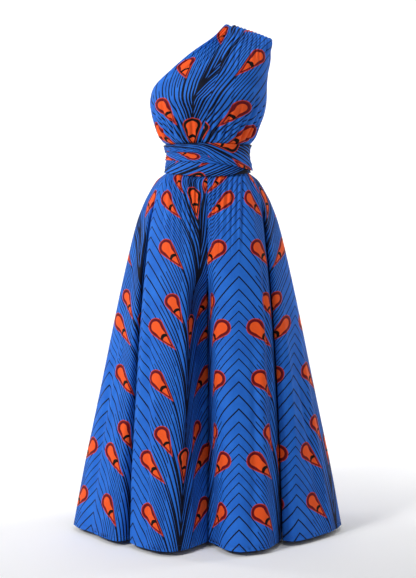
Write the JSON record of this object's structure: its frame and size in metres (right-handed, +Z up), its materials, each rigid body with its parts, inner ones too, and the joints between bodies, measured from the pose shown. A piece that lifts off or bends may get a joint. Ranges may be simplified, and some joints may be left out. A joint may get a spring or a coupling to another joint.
{
  "type": "wide leg jumpsuit",
  "caption": "One-shoulder jumpsuit in printed cotton with a gathered bodice, wrapped waist and wide folded legs, standing open as if worn.",
  "frame": {"origin": "underside of the straps at the middle of the top of the wearer's left shoulder, where the shoulder carries the garment", "axes": "+Z up, the front faces -Y, the wearer's left and the covered shoulder are towards +X"},
  "size_m": [0.7895, 0.5071, 1.4589],
  "materials": {
    "printed_cotton": "soft sheen, printed"
  },
  "bodies": {
    "root": {"leg_front_left": "printed_cotton", "leg_front_right": "printed_cotton", "leg_back_left": "printed_cotton", "leg_back_right": "printed_cotton", "waistband": "printed_cotton", "strap_right": "printed_cotton", "strap_left": "printed_cotton", "wrap_lower": "printed_cotton", "wrap_middle": "printed_cotton", "wrap_upper": "printed_cotton"}
  },
  "joints": []
}
